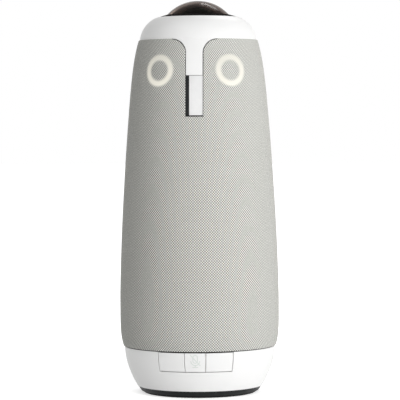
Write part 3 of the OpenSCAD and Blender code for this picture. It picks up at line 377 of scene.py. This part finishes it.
SLOTS = {
    "foot_rubber": (surface, dict(
        dark=(0.01, 0.011, 0.011), light=(0.02, 0.021, 0.021), rough=(0.6, 0.8),
        grain=1500, depth=0.04, Specular_IOR_Level=0.12)),
    "base_plate_plastic": (surface, dict(
        dark=(0.01, 0.0115, 0.012), light=(0.018, 0.0195, 0.02), rough=(0.4, 0.52),
        grain=1800, Specular_IOR_Level=0.12)),
    "insert_brass": (surface, dict(
        dark=(0.62, 0.42, 0.16), light=(0.75, 0.53, 0.24), rough=(0.2, 0.34),
        depth=0.01, stretch=(1, 1, 12), Metallic=1.0)),
    "white_plastic": (white_plastic, {}),
    "key_plastic": (white_plastic, {}),
    "screw_steel": (surface, dict(
        dark=(0.5, 0.5, 0.52), light=(0.64, 0.64, 0.66), rough=(0.22, 0.36),
        grain=1200, depth=0.01, Metallic=1.0)),
    "switch_plastic": (surface, dict(
        dark=(0.05, 0.05, 0.052), light=(0.08, 0.08, 0.083), rough=(0.4, 0.55), grain=1500)),
    "stem_plastic": (surface, dict(
        dark=(0.52, 0.5, 0.44), light=(0.6, 0.58, 0.52), rough=(0.38, 0.5), grain=1500)),
    "flex_film": (surface, dict(
        dark=(0.4, 0.18, 0.03), light=(0.54, 0.27, 0.06), rough=(0.22, 0.34),
        grain=500, stretch=(6, 1, 1))),
    "inner_plastic": (surface, dict(
        dark=(0.03, 0.03, 0.032), light=(0.05, 0.05, 0.052), rough=(0.5, 0.65),
        grain=1400, depth=0.03)),
    "board": (circuit_board, {}),
    "connector_plastic": (surface, dict(
        dark=(0.018, 0.018, 0.019), light=(0.03, 0.03, 0.031), rough=(0.36, 0.5), grain=1700)),
    "connector_steel": (surface, dict(
        dark=(0.3, 0.3, 0.31), light=(0.42, 0.42, 0.43), rough=(0.2, 0.32),
        depth=0.008, stretch=(8, 1, 1), Metallic=1.0)),
    "basket_steel": (surface, dict(
        dark=(0.1, 0.1, 0.105), light=(0.15, 0.15, 0.155), rough=(0.42, 0.55),
        grain=700, Metallic=0.6)),
    "cone_paper": (surface, dict(
        dark=(0.03, 0.029, 0.028), light=(0.085, 0.083, 0.08), rough=(0.75, 0.92),
        grain=1300, depth=0.08, stretch=(1, 1, 3))),
    "magnet_ferrite": (surface, dict(
        dark=(0.07, 0.07, 0.075), light=(0.11, 0.11, 0.115), rough=(0.5, 0.7),
        grain=1100, depth=0.03)),
    "standoff_brass": (surface, dict(
        dark=(0.6, 0.42, 0.18), light=(0.72, 0.53, 0.26), rough=(0.22, 0.36),
        depth=0.01, Metallic=1.0)),
    "can_steel": (surface, dict(
        dark=(0.55, 0.55, 0.56), light=(0.66, 0.66, 0.67), rough=(0.25, 0.4),
        grain=600, depth=0.01, stretch=(1, 9, 1), Metallic=1.0)),
    "sink_aluminium": (surface, dict(
        dark=(0.6, 0.61, 0.62), light=(0.72, 0.73, 0.74), rough=(0.3, 0.45),
        grain=700, depth=0.015, stretch=(1, 14, 1), Metallic=1.0)),
    "light_guide_clear": (glass, dict(
        tint=(0.9, 0.9, 0.88), through=0.6, gloss=0.25,
        Emission_Color=(1.0, 0.955, 0.84), Emission_Strength=0.6)),
    "sensor_glass": (glass, dict(tint=(0.08, 0.1, 0.13), through=0.2)),
    "barrel_black": (surface, dict(
        dark=(0.01, 0.01, 0.011), light=(0.02, 0.02, 0.021), rough=(0.3, 0.45),
        stretch=(1, 1, 10))),
    "lens_glass": (glass, dict(
        tint=(0.2, 0.26, 0.25), through=0.7, gloss=0.01,
        Coat_Weight=1.0, Coat_Tint=(0.7, 1.0, 0.86))),
    "grille_plastic": (surface, dict(
        dark=(0.016, 0.017, 0.018), light=(0.028, 0.029, 0.03), rough=(0.5, 0.68),
        grain=1400, depth=0.03, Specular_IOR_Level=0.2)),
    "knit": (knit, {}),
    "trim_plastic": (surface, dict(
        dark=(0.66, 0.66, 0.66), light=(0.78, 0.78, 0.78), rough=(0.3, 0.44),
        depth=0.015, stretch=(8, 8, 0.5))),
    "bezel_black": (surface, dict(
        dark=(0.012, 0.011, 0.011), light=(0.024, 0.022, 0.021), rough=(0.34, 0.46),
        grain=1500, depth=0.006, Specular_IOR_Level=0.0)),
    "seal_rubber": (surface, dict(
        dark=(0.025, 0.025, 0.026), light=(0.04, 0.04, 0.041), rough=(0.55, 0.7),
        grain=1500, depth=0.03)),
    "dome_glass": (glass, dict(tint=(0.12, 0.09, 0.075), through=1.0, gloss=0.01, IOR=1.11)),
}

materials = {slot: make(slot, **look).material for slot, (make, look) in SLOTS.items()}

for part in frame["record"]["subparts"]:
    slots = frame["nodes"][part["node"]].data.materials
    for i in range(len(slots)):
        slots[i] = materials[part["material_slot"]]


# Cloth sleeve: the body's profile as in the part's source, in mm

HEM_Z = 32.5
EDGE_Z = 33.15
BELLY_Z = 65.0
CROWN_Z = 245.5
BODY_R = 55.5
HEM_R = 53.1
CROWN_R = 41.4
HEM_POWER = 5
TAPER_SHARE = 0.794
TAPER_POWER = 1.5
SHOULDER_POWER = 14
CLOTH_T = 1.2
FILLET_R = 9.2
FILLET_Z = 235.7
SLIT_X = 6.25
SLIT_Z = 192.4

LOW_STEPS, SLIT_STEPS, FILLET_STEPS = 64, 16, 14
FRONT_STEPS, ROUND_STEPS = 8, 248
ROLL_R = 0.4
ROLL_STEPS = 3
ROLL_ANGLE_DEG = 50


def sleeve_r(z):
    if z <= BELLY_Z:
        share = (BELLY_Z - z) / (BELLY_Z - HEM_Z)
        return BODY_R - (BODY_R - HEM_R) * share**HEM_POWER
    share = min((z - BELLY_Z) / (CROWN_Z - BELLY_Z), 1)
    taper = TAPER_SHARE * share**TAPER_POWER
    shoulder = (1 - TAPER_SHARE) * share**SHOULDER_POWER
    return BODY_R - (BODY_R - CROWN_R) * (taper + shoulder)


def slit_half(z):
    """Half the width of the cloth's opening for the spine."""
    rise = min(max(z - FILLET_Z, 0), FILLET_R)
    return SLIT_X + FILLET_R - math.sqrt(FILLET_R**2 - rise**2)


def on_body(r, turn, z):
    """A point in metres, from mm and the turn from the front towards +X."""
    return r * math.sin(turn) * MM, -r * math.cos(turn) * MM, z * MM


def steps(low, high, count):
    return [low + (high - low) * i / count for i in range(count)]


def make_sleeve():
    """A closed sheet round the body, open at the front for the spine and the plate under it."""
    heights = [EDGE_Z + (SLIT_Z - EDGE_Z) * i / LOW_STEPS for i in range(LOW_STEPS + 1)]
    heights += [SLIT_Z + (FILLET_Z - SLIT_Z) * i / SLIT_STEPS for i in range(1, SLIT_STEPS + 1)]
    quarter = math.pi / 2
    heights += [
        FILLET_Z + FILLET_R * math.sin(quarter * i / FILLET_STEPS)
        for i in range(1, FILLET_STEPS + 1)
    ]
    heights.append(CROWN_Z)
    mesh = bmesh.new()
    rows = []
    for z in heights:
        r = sleeve_r(z)
        half = math.asin(slit_half(z) / r)
        turns = steps(-half, half, FRONT_STEPS) + steps(half, 2 * math.pi - half, ROUND_STEPS)
        rows.append([mesh.verts.new(on_body(r, turn, z)) for turn in turns])
    columns = FRONT_STEPS + ROUND_STEPS
    above_plate = SLIT_Z - 1e-6
    for z, low, high in zip(heights, rows, rows[1:]):
        for j in range(columns):
            if j < FRONT_STEPS and z >= above_plate:
                continue
            k = (j + 1) % columns
            mesh.faces.new((low[j], low[k], high[k], high[j]))
    loose = [v for v in mesh.verts if not v.link_faces]
    bmesh.ops.delete(mesh, geom=loose, context="VERTS")
    for face in mesh.faces:
        face.smooth = True
    sleeve = add_mesh_object("cloth_sleeve", mesh)
    sleeve.data.materials.append(materials["knit"])
    thick = sleeve.modifiers.new("thickness", "SOLIDIFY")
    thick.thickness = CLOTH_T * MM
    thick.offset = -1
    soften = sleeve.modifiers.new("rolled_edges", "BEVEL")
    soften.width = ROLL_R * MM
    soften.segments = ROLL_STEPS
    soften.limit_method = "ANGLE"
    soften.angle_limit = math.radians(ROLL_ANGLE_DEG)
    apply_modifiers(sleeve)
    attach(sleeve, "housing")
    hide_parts("fabric_sleeve")


def apply_modifiers(piece):
    bpy.context.view_layer.update()
    graph = bpy.context.evaluated_depsgraph_get()
    piece.data = bpy.data.meshes.new_from_object(piece.evaluated_get(graph))
    piece.modifiers.clear()


make_sleeve()


# Crossed-out microphone on the middle key, drawn in units of SIGN_SIZE mm round its middle

SIGN_Z = 27.1
SIGN_SIZE = 1.5
STROKE = 0.6
INK_LOW = 0.02
INK_HIGH = 0.06
BASE_TOP_Z = 32.5
BASE_TOP_R = 52.5
BASE_IN = 8.82
BASE_H = 27.5
BASE_POWER = 1.9

CAPSULE_R = 1.05
CAPSULE_TOP = 1.4
CAPSULE_LOW = -0.1
CRADLE_R = 2.0
CRADLE_Z = -0.2
STEM = [(0, -2.2), (0, -3.1)]
STAND = [(-1.3, -3.1), (1.3, -3.1)]
CROSS = [(-2.3, 2.6), (0, 0.1), (2.3, -2.4)]


def base_r(z):
    return BASE_TOP_R - BASE_IN * ((BASE_TOP_Z - z) / BASE_H) ** BASE_POWER


def stroke(mesh, points):
    """A flat band along points (x, z) in mm, laid on the key's face."""
    count = len(points)
    rings = []
    for i, point in enumerate(points):
        ahead = Vector(points[min(i + 1, count - 1)]) - Vector(points[max(i - 1, 0)])
        side = Vector((-ahead.y, ahead.x)).normalized() * STROKE / 2
        corners = []
        for lift, sign in ((INK_LOW, -1), (INK_HIGH, -1), (INK_HIGH, 1), (INK_LOW, 1)):
            x, z = Vector(point) + side * sign
            r = base_r(z) + lift
            corners.append(mesh.verts.new(on_body(r, x / r, z)))
        rings.append(corners)
    for low, high in zip(rings, rings[1:]):
        for k in range(4):
            mesh.faces.new((low[k], low[(k + 1) % 4], high[(k + 1) % 4], high[k]))
    mesh.faces.new(reversed(rings[0]))
    mesh.faces.new(rings[-1])


def arc(z, r, start, end, count=12):
    turns = [math.radians(start + (end - start) * i / count) for i in range(count + 1)]
    return [(r * math.cos(turn), z + r * math.sin(turn)) for turn in turns]


def make_sign():
    mesh = bmesh.new()
    capsule = arc(CAPSULE_TOP, CAPSULE_R, 0, 180) + arc(CAPSULE_LOW, CAPSULE_R, 180, 360)
    closed = capsule + capsule[:2]
    cradle = arc(CRADLE_Z, CRADLE_R, 180, 360, 16)
    for line in (closed, cradle, STEM, STAND, CROSS):
        stroke(mesh, [(x * SIGN_SIZE, SIGN_Z + z * SIGN_SIZE) for x, z in line])
    bmesh.ops.recalc_face_normals(mesh, faces=mesh.faces)
    sign = add_mesh_object("mute_sign", mesh)
    ink = surface(
        "sign_ink", dark=(0.6, 0.64, 0.61), light=(0.66, 0.7, 0.67), rough=(0.5, 0.6),
        grain=1400, depth=0.01,
    )
    sign.data.materials.append(ink.material)
    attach(sign, "mute_key_body")


make_sign()


# Studio: white surroundings, large soft lamps mostly at the right, a floor that keeps the shadow

FILL = (0.3, 0.3, 0.296)
WHITE = (1, 1, 1)
LAMP_AIM = Vector((0, 0, 0.13))
FLOOR_SIZE = 8
FLOOR_DROP = 0.05 * MM
FLOOR_DARK = (0.85, 0.85, 0.85)
FLOOR_LIGHT = (0.87, 0.87, 0.87)
SHADOW_REACH = (0.1, 0.5)  # metres from the middle, over which the floor turns white
SHADOW_LEVEL = 0.62


def seen(tree):
    """1 for rays from the camera, a reflection or a clear piece."""
    path = tree.nodes.new("ShaderNodeLightPath")
    total = path.outputs["Is Camera Ray"]
    for other in ("Is Glossy Ray", "Is Transmission Ray"):
        node = tree.nodes.new("ShaderNodeMath")
        node.operation = "MAXIMUM"
        tree.links.new(total, node.inputs[0])
        tree.links.new(path.outputs[other], node.inputs[1])
        total = node.outputs[0]
    return total


def make_world():
    world = bpy.data.worlds.new("studio")
    bpy.context.scene.world = world
    world.use_nodes = True
    tree = world.node_tree
    tree.nodes.clear()
    output = tree.nodes.new("ShaderNodeOutputWorld")
    mix = tree.nodes.new("ShaderNodeMixShader")
    for socket, colour in ((mix.inputs[1], FILL), (mix.inputs[2], WHITE)):
        node = tree.nodes.new("ShaderNodeBackground")
        node.inputs["Color"].default_value = (*colour, 1)
        tree.links.new(node.outputs[0], socket)
    tree.links.new(seen(tree), mix.inputs[0])
    tree.links.new(mix.outputs[0], output.inputs["Surface"])


def make_lamp(name, turn_deg, up_deg, distance, size, power, shines=False):
    """A lamp aimed at the object; one that shines also shows in reflections."""
    turn, up = math.radians(turn_deg), math.radians(up_deg)
    data = bpy.data.lights.new(name, "AREA")
    data.shape = "RECTANGLE"
    data.size, data.size_y = size
    data.energy = power
    lamp = add_object(name, data)
    level = math.cos(up)
    away = Vector((math.sin(turn) * level, -math.cos(turn) * level, math.sin(up)))
    lamp.location = LAMP_AIM + away * distance
    lamp.rotation_mode = "QUATERNION"
    lamp.rotation_quaternion = (-away).to_track_quat("-Z", "Y")
    lamp.visible_glossy = shines


def make_floor():
    mesh = bmesh.new()
    bmesh.ops.create_grid(mesh, x_segments=4, y_segments=4, size=FLOOR_SIZE)
    floor = add_mesh_object("floor", mesh)
    floor.location.z = -FLOOR_DROP
    n = Nodes("floor")
    speck = n.noise(30.0)
    length = n.add("ShaderNodeVectorMath", operation="LENGTH")
    n.link(n.place, length.inputs[0])
    far = n.smooth(length.outputs["Value"], *SHADOW_REACH, SHADOW_LEVEL, 1.0)
    n.set(
        Base_Color=n.mix(speck, FLOOR_DARK, FLOOR_LIGHT),
        Roughness=0.9,
        Specular_IOR_Level=0.0,
        Emission_Color=WHITE,
        Emission_Strength=n.times(seen(n.tree), far),
    )
    floor.data.materials.append(n.material)


make_world()
make_lamp("key_lamp", turn_deg=35, up_deg=10, distance=1.8, size=(1.4, 0.76), power=26.6)
make_lamp("side_lamp", turn_deg=105, up_deg=8, distance=1.8, size=(0.8, 0.7), power=7.6)
make_lamp("sky_lamp", turn_deg=-10, up_deg=65, distance=1.5, size=(1.2, 1.2), power=3.2)
make_lamp("back_lamp", turn_deg=215, up_deg=15, distance=1.8, size=(1.2, 0.8), power=5)
make_lamp(
    "top_lamp", turn_deg=165, up_deg=50, distance=1.2, size=(0.4, 0.2), power=1.5, shines=True
)
make_floor()

scene = bpy.context.scene
scene.view_settings.view_transform = "Standard"
